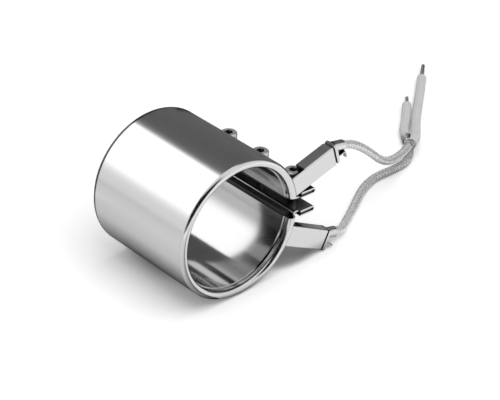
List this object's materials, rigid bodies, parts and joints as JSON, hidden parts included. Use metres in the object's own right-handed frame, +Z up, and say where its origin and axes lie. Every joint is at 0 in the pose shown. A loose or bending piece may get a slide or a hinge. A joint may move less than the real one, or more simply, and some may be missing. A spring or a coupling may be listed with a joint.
{
  "type": "mica nozzle heater",
  "caption": "Polished steel mica band heater with a split clamping flange, rolled edges, folded terminal boxes and two braided leads ending in bare tips",
  "frame": {"origin": "the centre of the bore at mid-length", "axes": "+Y runs along the bore, +Z is up, and the split with its flanges and leads faces +X"},
  "size_m": [0.1677, 0.0636, 0.046],
  "materials": {
    "mirror_steel": "polished",
    "liner_steel": "polished",
    "zinc_steel": "satin",
    "bar_steel": "satin",
    "ribbon_alloy": "satin",
    "nickel_wire": "satin",
    "steel_braid": "satin",
    "mica": "matte",
    "glass_fibre": "matte",
    "pale_sleeve": "matte"
  },
  "bodies": {
    "root": {"outer_sheath": "mirror_steel", "inner_liner": "liner_steel", "inner_mica": "mica", "outer_mica": "mica", "element_card": "mica", "resistance_ribbon": "ribbon_alloy", "clamp_bar_upper": "bar_steel", "clamp_bar_lower": "bar_steel", "clamp_screws": "zinc_steel", "clamp_washers": "zinc_steel", "clamp_nuts": "zinc_steel", "terminal_housing_upper": "mirror_steel", "end_clip_upper": "mirror_steel", "housing_wrap_upper": "mica", "terminal_strap_upper": "ribbon_alloy", "terminal_crimp_upper": "zinc_steel", "conductor_upper": "nickel_wire", "core_insulation_upper": "glass_fibre", "lead_upper": "steel_braid", "braid_ferrule_upper": "zinc_steel", "lead_sleeve_upper": "pale_sleeve", "wire_tip_upper": "nickel_wire", "terminal_housing_lower": "mirror_steel", "end_clip_lower": "mirror_steel", "housing_wrap_lower": "mica", "terminal_strap_lower": "ribbon_alloy", "terminal_crimp_lower": "zinc_steel", "conductor_lower": "nickel_wire", "core_insulation_lower": "glass_fibre", "lead_lower": "steel_braid", "braid_ferrule_lower": "zinc_steel", "lead_sleeve_lower": "pale_sleeve", "wire_tip_lower": "nickel_wire"}
  },
  "joints": []
}
